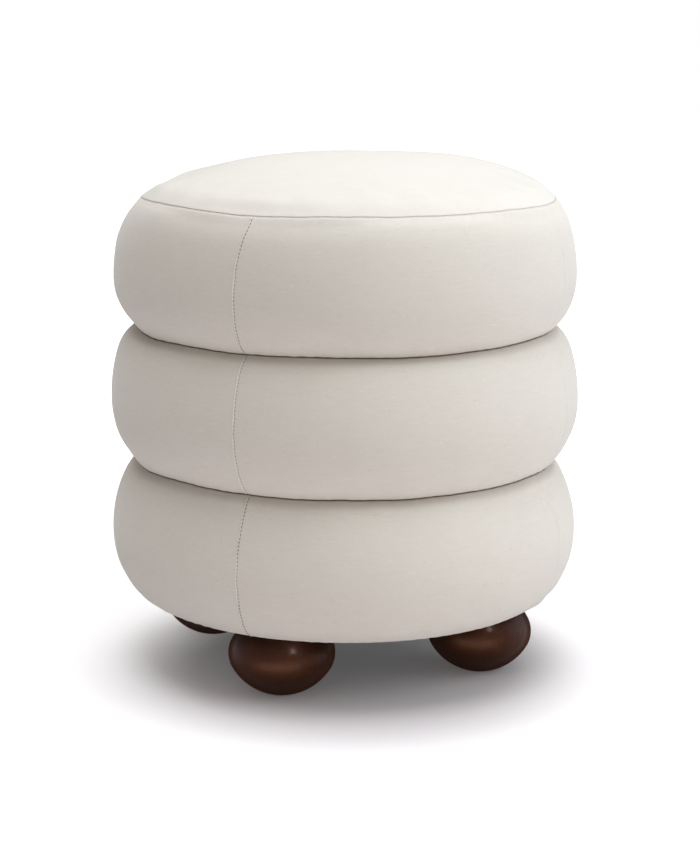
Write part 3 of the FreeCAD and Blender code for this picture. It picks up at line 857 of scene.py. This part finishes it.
def sleevePiece(name, tier):
    shape = coverShape
    seamAngles, seed = tier["seamAngles"], tier["seed"]
    outside, inside = outsideOf(tier), insideOf(tier)
    loop = np.concatenate([inside[-1:], outside, inside])
    line = softened(respaced(loop, outlineStep), shape["lipSoftness"])
    along = lengthsAlong(line)
    lowerLip = math.dist(outside[0], inside[-1])
    upperLip = lowerLip + lengthsAlong(outside)[-1]
    slots = [shape["slotDepth"] * tier[edge].endswith("Crease") for edge in ("bottomEdge", "topEdge")]
    lips = (lowerLip + slots[0], upperLip - slots[1])
    keep = spacedByNeed(line[:-1], along, (lowerLip, upperLip) + lips)
    line, along = line[keep], along[keep]

    columns = seamColumns(seamAngles, halfWidth(tier["node"]))
    apart = seamOffsets(columns, seamAngles)
    share = np.clip((along - lowerLip) / (upperLip - lowerLip), 0, 1)
    angles = columns[None, :] + seamDrift(tier, share)[:, None]
    places = turnedSurface(line, angles)
    outward = outwardOf(line, along, angles)
    radii, across, height = line[:, :1], apart[None, :] * line[:, :1], along[:, None]

    outer = ((along >= lowerLip) & (along <= upperLip)).astype(float)
    fromLips = np.minimum(along - lips[0], lips[1] - along)
    fade = (outer * smoothStep(fromLips, 0, shape["edgeReach"]))[:, None]
    seamFade = (outer * np.clip(fromLips / shape["seamReach"] + 1, 0, 1))[:, None]

    # sewn joint: a narrow valley with the folded edge standing up beside it
    push = -shape["seamDepth"] * hump(across, shape["seamWidth"])
    push += shape["foldHeight"] * hump(across + shape["foldOffset"], shape["foldWidth"])
    push *= seamFade
    push += fade * shape["dents"] * wavesOver(angles, height, seed, *shape["dentWaves"])
    push += fade * fillingPush(name, outside, seamAngles, share, columns)
    push += outer[:, None] * puckers(angles, np.abs(fromLips)[:, None], seed)
    push += fade * seamPuckers(across, height, apart, seed)
    if tier["topEdge"] == "rim":
        push -= (outer * shape["rimDepth"] * hump(lips[1] - along, shape["rimWidth"]))[:, None]
    places += outward * push[..., None]

    places[..., 2] += (1 - share)[:, None] * edgeStray(tier["bottomEdge"], angles, radii)
    places[..., 2] += share[:, None] * edgeStray(tier["topEdge"], angles, radii)
    if tier["topEdge"] == "rim":
        inset = shoulderInset(angles, line[:, 1:]) * smoothStep(radii, foamRadius, bendRadius)
        places[..., :2] *= (1 - inset / radii)[..., None]
    if tier["bottomEdge"] == "hem":
        places[..., 2] += hemGathers(angles, radii, line[:, 1:])

    piece = makePiece(name, places, gridFaces(len(line), len(columns), True).tolist(), finish["cover"])
    creases = [way for way, slot in ((along - lips[0], slots[0]), (lips[1] - along, slots[1])) if slot]
    rimOffset = upperLip - along if tier["topEdge"] == "rim" else np.full(len(along), farAway)
    addSeamFields(piece, outer[:, None], (
        across, height - lowerLip, rimOffset[:, None], np.remainder(angles, fullTurn) * rimRadius,
        np.min(creases, axis=0)[:, None]))
    settle(piece, [tier["node"]])
    return {"places": places, "outward": outward, "along": along, "angles": angles, "apart": apart,
            "lips": (lowerLip, upperLip)}


stitchShape = {"length": 2.2 * mm, "radius": 0.2 * mm, "sides": 6, "rings": 7, "clear": (9 * mm, 3 * mm)}


def stitchRows(name, surface):
    # short threads lying in the seams of one sleeve, each a capped tube that dips in at its ends
    shape, spacing = stitchShape, coverLook["stitch"]
    along, lips = surface["along"], surface["lips"]
    sides, rings = shape["sides"], shape["rings"]
    turn = evenAngles(sides)
    reach = np.linspace(-1, 1, rings)
    lift = shape["radius"] * (0.9 - 2.2 * reach ** 4)
    thick = shape["radius"] * np.sqrt(1.02 - reach ** 6)
    tubeFaces = gridFaces(rings, sides, False)[:, ::-1]
    caps = (np.arange(sides), (rings - 1) * sides + np.arange(sides)[::-1])
    points, faces = [], []
    rows = np.where((along > lips[0] + shape["clear"][0]) & (along < lips[1] - shape["clear"][1]))[0]
    lengths = along[rows]
    first = math.ceil((lengths[0] - lips[0]) / spacing) * spacing + lips[0]
    for column in np.where(np.abs(surface["apart"]) < 1e-6)[0]:
        for middle in np.arange(first, lengths[-1] - shape["length"], spacing):
            spots = middle + reach * shape["length"] / 2
            centre = placesAt(spots, lengths, surface["places"][rows, column])
            up = placesAt(spots, lengths, surface["outward"][rows, column])
            angle = np.interp(middle, lengths, surface["angles"][rows, column])
            spin = np.array([-math.sin(angle), math.cos(angle), 0])
            ring = np.cos(turn)[None, :, None] * up[:, None, :] + np.sin(turn)[None, :, None] * spin
            start = len(points) * rings * sides
            points.append((centre + lift[:, None] * up)[:, None, :] + thick[:, None, None] * ring)
            faces.extend((tubeFaces + start).tolist())
            faces.extend((cap + start).tolist() for cap in caps)
    settle(makePiece(name, points, faces, finish["thread"]))


def crownOutline():
    # from the rim up to the axis: the two arcs of a tier, lying on their side
    crown = crownShape
    arcs = twoArcHalf((crownHeight, 0), (rimHeight, rimRadius), crown["arcShare"], crown["shoulderShare"])
    return softened(respaced(arcs[::-1, ::-1], outlineStep), coverShape["bellySoftness"])


def crownPiece():
    shape, crown = coverShape, crownShape
    outside = crownOutline()
    foamTop = rimHeight + shape["edgeThickness"]
    underside = crownHeight - crown["padding"]
    under = np.array([(0.0, underside), (crown["foamFlatRadius"], underside), (liningRadius, foamTop),
                      (edgeInnerRadius, foamTop), (edgeInnerRadius, rimHeight + shape["lipGap"])])
    line = softened(respaced(np.concatenate([under, outside]), outlineStep), shape["lipSoftness"])
    along = lengthsAlong(line)
    length = lengthsAlong(outside)[-1]
    lip = along[-1] - length
    keep = [index for index in spacedByNeed(line[:-1], along, (lip,)) if line[index, 0] > crown["hole"]]
    line, along = line[keep], along[keep]
    angles = evenAngles(shape["columns"])
    places = turnedSurface(line, angles)
    radii = line[:, :1]

    outer = (along > lip).astype(float)
    fromRim = np.maximum(along - lip, 0)
    fade = (outer * smoothStep(fromRim, 0, crown["rimReach"]))[:, None]
    skin = outside[outside[:, 0] > 6 * mm]
    push = fade * fillingPush("crownCover", skin, (), fromRim / length, angles)
    push -= (outer * shape["rimDepth"] * hump(fromRim, shape["rimWidth"]))[:, None]
    push += outer[:, None] * puckers(angles[None, :], fromRim[:, None], crown["seed"])
    places += outwardOf(line, along, angles) * push[..., None]

    near = 1 - outer * smoothStep(fromRim, 0, crown["strayReach"])
    places[..., 2] += near[:, None] * edgeStray("rim", angles[None, :], radii)
    drawnIn = np.where(outer[:, None] > 0, smoothStep(radii, crown["easeFrom"], rimRadius),
                       smoothStep(radii, foamRadius, rimRadius))
    inset = drawnIn * shoulderInset(angles[None, :], np.full_like(radii, rimHeight))
    places[..., :2] *= (1 - inset / radii)[..., None]
    for angle, radius, rise, width in crownMounds:
        middle = radius * np.array([math.cos(math.radians(angle)), math.sin(math.radians(angle))])
        places[..., 2] += fade * rise * np.exp(-((places[..., :2] - middle) ** 2).sum(-1) / width ** 2)

    # the small holes at the axis are closed by fans
    rows, columns = len(line), len(angles)
    peak = places[-1].mean(axis=0)
    points = np.concatenate([places.reshape(-1, 3), [(0, 0, underside), peak]])
    faces = gridFaces(rows, columns, False).tolist()
    last = (rows - 1) * columns
    for column in range(columns):
        following = (column + 1) % columns
        faces.append((rows * columns, following, column))
        faces.append((last + column, last + following, rows * columns + 1))
    piece = makePiece("crownCover", points, faces, finish["crown"])
    level = np.append(np.repeat(outer, columns), [0, 1])
    far = np.full_like(level, farAway)
    addSeamFields(piece, level, (far, far, np.append(np.repeat(fromRim, columns), far[:2]),
                                 np.append(np.tile(angles * rimRadius, rows), far[:2]), far))
    settle(piece, ["crown_panel"])


for tierName, tier in tiers.items():
    stitchRows(tierName + "Stitches", sleevePiece(tierName, tier))
    print(tierName, "made")
crownPiece()
print("covers made")


# Foam inside, drawn-in cords and the cloth underneath

foamShape = {"corner": 3 * mm, "step": 1.5 * mm, "columns": 120, "axisHole": 0.4 * mm}


def foamPiece(name, node, inner, flatRadius=None):
    # a turned block with rounded corners, its top narrower where flatRadius is given
    shape = foamShape
    low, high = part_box(node)
    outer = halfWidth(node)
    corners = [(inner, low[2]), (outer, low[2]), (flatRadius or outer, high[2]), (inner, high[2])]
    line = respaced(np.array(corners + corners[:1]), shape["step"])
    reach = int(3 * shape["corner"] / shape["step"])
    around = np.concatenate([line[-reach - 1:-1], line, line[1:reach + 1]])
    line = softened(around, shape["corner"] / 2, shape["step"])[reach:-reach - 1]
    places = turnedSurface(line, evenAngles(shape["columns"]))
    piece = makePiece(name, places, gridFaces(len(line), shape["columns"], True).tolist(), finish["cutFoam"])
    settle(piece, [node])


for foamName, node in (("lowerFoamRing", "lower_foam"), ("middleFoamRing", "middle_foam"),
                       ("upperFoamRing", "upper_foam")):
    foamPiece(foamName, node, drumRadius + coverShape["gap"])
foamPiece("seatFoamDisc", "seat_foam", foamShape["axisHole"])
foamPiece("crownFoamDome", "crown_foam", foamShape["axisHole"], crownShape["foamFlatRadius"])


cordShape = {"strands": 3, "twistsPerTurn": 90, "sides": 6, "columns": 1080}


def drawCord(name, node):
    # a laid cord pulled tight round the drum
    shape = cordShape
    low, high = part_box(node)
    half = (high[2] - low[2]) / 2
    strand = half * 0.5
    middle = halfWidth(node) - half
    angles = evenAngles(shape["columns"])
    turn = evenAngles(shape["sides"])[:, None]
    tubeFaces = gridFaces(shape["sides"], shape["columns"], True)
    points, faces = [], []
    for index in range(shape["strands"]):
        twist = shape["twistsPerTurn"] * angles + index * fullTurn / shape["strands"]
        radius = middle + (half - strand) * np.cos(twist)[None, :] + strand * np.cos(turn)
        height = low[2] + half + (half - strand) * np.sin(twist)[None, :] + strand * np.sin(turn)
        points.append(placesAround(radius, angles, height))
        faces.extend((tubeFaces + index * radius.size).tolist())
    settle(makePiece(name, points, faces, finish["twine"]), [node])


drawCord("lowerDrawnCord", "lower_draw_cord")
drawCord("upperDrawnCord", "upper_draw_cord")


clothShape = {"thickness": 0.5 * mm, "rings": 46, "columns": 240, "sag": 0.5 * mm, "scallop": 1.2 * mm,
              "staples": 24, "axisHole": 0.004, "rippleWaves": (2, 9, 60 * mm, 160 * mm), "seed": 31}


def dustCloth():
    # thin cambric pulled flat under the base, scalloped between its staples
    shape = clothShape
    radius = halfWidth("dust_cover")
    angles = evenAngles(shape["columns"])
    rings = np.linspace(shape["axisHole"], 1, shape["rings"])[:, None]
    pulled = 0.5 - 0.5 * np.cos(shape["staples"] * angles)
    spread = radius * rings - shape["scallop"] * pulled[None, :] * rings ** 12
    ripple = wavesOver(angles[None, :], spread, shape["seed"], *shape["rippleWaves"])
    level = bottomOf("dust_cover") + shape["sag"] * (0.35 + 0.35 * ripple) * (1 - rings ** 6)
    upper, lower = (placesAround(spread, angles, level + lift) for lift in (shape["thickness"], 0.0))
    outline = np.concatenate([upper, lower[::-1]])
    faces = gridFaces(len(outline), len(angles), True)[:, ::-1]
    piece = makePiece("dustCloth", outline, faces.tolist(), finish["blackCambric"])
    settle(piece, ["dust_cover"])


dustCloth()
print("inside and underside made")


# Finishes of the rigid parts

rigidParts = {
    "walnut": ["foot_front_left", "foot_front_right", "foot_back_left", "foot_back_right"],
    "birchPly": ["base_board", "seat_board"],
    "framePine": ["post_right", "post_back", "post_left", "post_front"],
    "tackBoard": ["drum_wrap"],
    "zincSteel": ["dust_cover_staples", "hanger_bolts", "tee_nuts"],
}
for name, nodes in rigidParts.items():
    for node in nodes:
        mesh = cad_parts[node].data
        mesh.materials.clear()
        mesh.materials.append(finish[name])
print("rigid parts finished")


# Floor, light and camera; places are right of, behind and above the object as the photograph shows it

photoView = {
    "azimuth": math.radians(-21.6),
    "distance": 2.1651, "height": 0.6886,
    "pitch": 0.2098, "yaw": 0.0025, "roll": 0.0082,
    "lens": 93.7, "sensor": 36.0,
}
photoTurn = Matrix.Rotation(photoView["azimuth"], 4, "Z")

floorLook = {
    "color": (0.915, 0.875, 0.905, 1),
    "rings": (0.2, 0.6, 1.5, 4.0, 8.0),
    "columns": 96,
    # painted light that only the camera sees: the veil lifts the whole shadow, the glows fade it to white
    # further out
    "glowCentre": (0.0075, -0.0785, 0.0),
    "veil": 0.06,
    "nearGlow": (0.143, 0.282, 0.407),  # where it starts and ends, and its strength
    "farGlow": (0.35, 1.6, 0.6),
}


def seenDirectly(tree):
    # 1 for rays from the camera, off gloss or through glass, which show the background itself
    rays = addNode(tree, "ShaderNodeLightPath").outputs
    direct = maths("MAXIMUM", rays["Is Camera Ray"], rays["Is Glossy Ray"])
    return maths("MAXIMUM", direct, rays["Is Transmission Ray"])


def makeFloorMaterial():
    look = floorLook
    material, tree, shader = newMaterial("whiteFloor", {
        "Base Color": look["color"], "Roughness": 0.8, "Specular IOR Level": 0.0, "Emission Color": white})
    centre = photoTurn @ Vector(look["glowCentre"])
    spots = {0: objectPlace(tree), 1: centre}
    away = addNode(tree, "ShaderNodeVectorMath", spots, operation="DISTANCE").outputs["Value"]
    # the shadow fades to pure white for whoever looks at the floor, and the fading sheds no light
    glow = look["veil"]
    for start, end, gain in (look["nearGlow"], look["farGlow"]):
        glow = plus(glow, eased(away, start, end, 0.0, gain))
    feed(shader, {"Emission Strength": times(glow, seenDirectly(tree))})
    # the floor can be looked through from underneath
    clear = addNode(tree, "ShaderNodeBsdfTransparent")
    side = addNode(tree, "ShaderNodeNewGeometry").outputs["Backfacing"]
    mix = addNode(tree, "ShaderNodeMixShader", {0: side, 1: shader.outputs[0], 2: clear.outputs[0]})
    feed(tree.nodes["Material Output"], {"Surface": mix.outputs[0]})
    return material


def makeFloor():
    look = floorLook
    rings = np.array(look["rings"])[:, None]
    faces = gridFaces(len(rings), look["columns"], False)[:, ::-1].tolist()
    faces.append(list(range(look["columns"])))
    places = placesAround(rings, evenAngles(look["columns"]), 0.0)
    makePiece("floor", places, faces, makeFloorMaterial())


worldLook = {"tint": (1.026, 1.01, 0.964, 1), "strength": 0.3}


def makeWorld():
    world = bpy.data.worlds.new("studio")
    bpy.context.scene.world = world
    world.use_nodes = True
    tree = world.node_tree
    seen = seenDirectly(tree)
    feed(tree.nodes["Background"], {
        "Strength": mapped(seen, 0.0, 1.0, worldLook["strength"], 1.0),
        "Color": blended(seen, worldLook["tint"], white)})


lamps = {
    "topLamp": {"place": (0.0, 0.0, 2.2), "size": (1.8, 1.8), "power": 30.9, "color": (0.967, 1.001, 1.031)},
    "keyLamp": {"place": (1.4, -0.6, 1.9), "size": (1.2, 1.2), "power": 9.7, "color": (0.912, 1.023, 1.065),
                "offFloor": True},
    "sideLamp": {"place": (2.2, 0.0, 0.9), "size": (1.8, 1.8), "power": 12.6, "color": (0.909, 1.004, 1.088)},
    "bounceLamp": {"place": (0.5, -1.2, 0.04), "size": (1.6, 0.4), "power": 3.8,
                   "color": (1.04, 0.997, 0.963), "offFloor": True},
    "glintLamp": {"place": (0.98, -1.84, 1.9), "size": (0.3, 0.3), "power": 30.0, "color": (1.0, 0.95, 0.92),
                  "onlyFeet": True},
    "stripLamp": {"place": (-0.1, -1.2, -0.26), "size": (2.2, 0.6), "power": 20.0, "color": (1.0, 0.8, 0.65),
                  "onlyFeet": True},
}


def makeLamp(name, lamp):
    light = bpy.data.lights.new(name, "AREA")
    light.shape = "RECTANGLE"
    light.size, light.size_y = lamp["size"]
    light.energy = lamp["power"]
    light.color = lamp["color"]
    piece = newObject(name, light)
    place = photoTurn @ Vector(lamp["place"])
    aim = Vector((0, 0, crownHeight / 2)) - place
    piece.matrix_world = Matrix.Translation(place) @ aim.to_track_quat("-Z", "Y").to_matrix().to_4x4()
    piece.visible_camera = False
    if lamp.get("offFloor"):
        # flagged off the floor, so that the shadow stays even on both sides
        flagged = bpy.data.collections.new(name + "Flag")
        flagged.objects.link(bpy.data.objects["floor"])
        flagged.collection_objects[0].light_linking.link_state = "EXCLUDE"
        piece.light_linking.receiver_collection = flagged
    if lamp.get("onlyFeet"):
        # a gleam on the lacquer of the feet alone
        spotted = bpy.data.collections.new(name + "Feet")
        for foot in rigidParts["walnut"]:
            spotted.objects.link(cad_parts[foot])
        piece.light_linking.receiver_collection = spotted
        piece.light_linking.blocker_collection = spotted
        piece.visible_diffuse = False


def makeCamera():
    look = photoView
    camera = bpy.data.cameras.new("photoCamera")
    camera.lens = look["lens"]
    camera.sensor_width = look["sensor"]
    camera.clip_end = 100.0
    piece = newObject("photoCamera", camera)
    place = photoTurn @ Matrix.Translation((0, -look["distance"], look["height"]))
    aim = Matrix.Rotation(-look["yaw"], 4, "Z") @ Matrix.Rotation(math.pi / 2 - look["pitch"], 4, "X")
    piece.matrix_world = place @ aim @ Matrix.Rotation(look["roll"], 4, "Z")
    bpy.context.scene.camera = piece


makeFloor()
makeWorld()
for lampName, lamp in lamps.items():
    makeLamp(lampName, lamp)
makeCamera()
bpy.context.scene.view_settings.view_transform = "Standard"
print("floor, light and camera made")
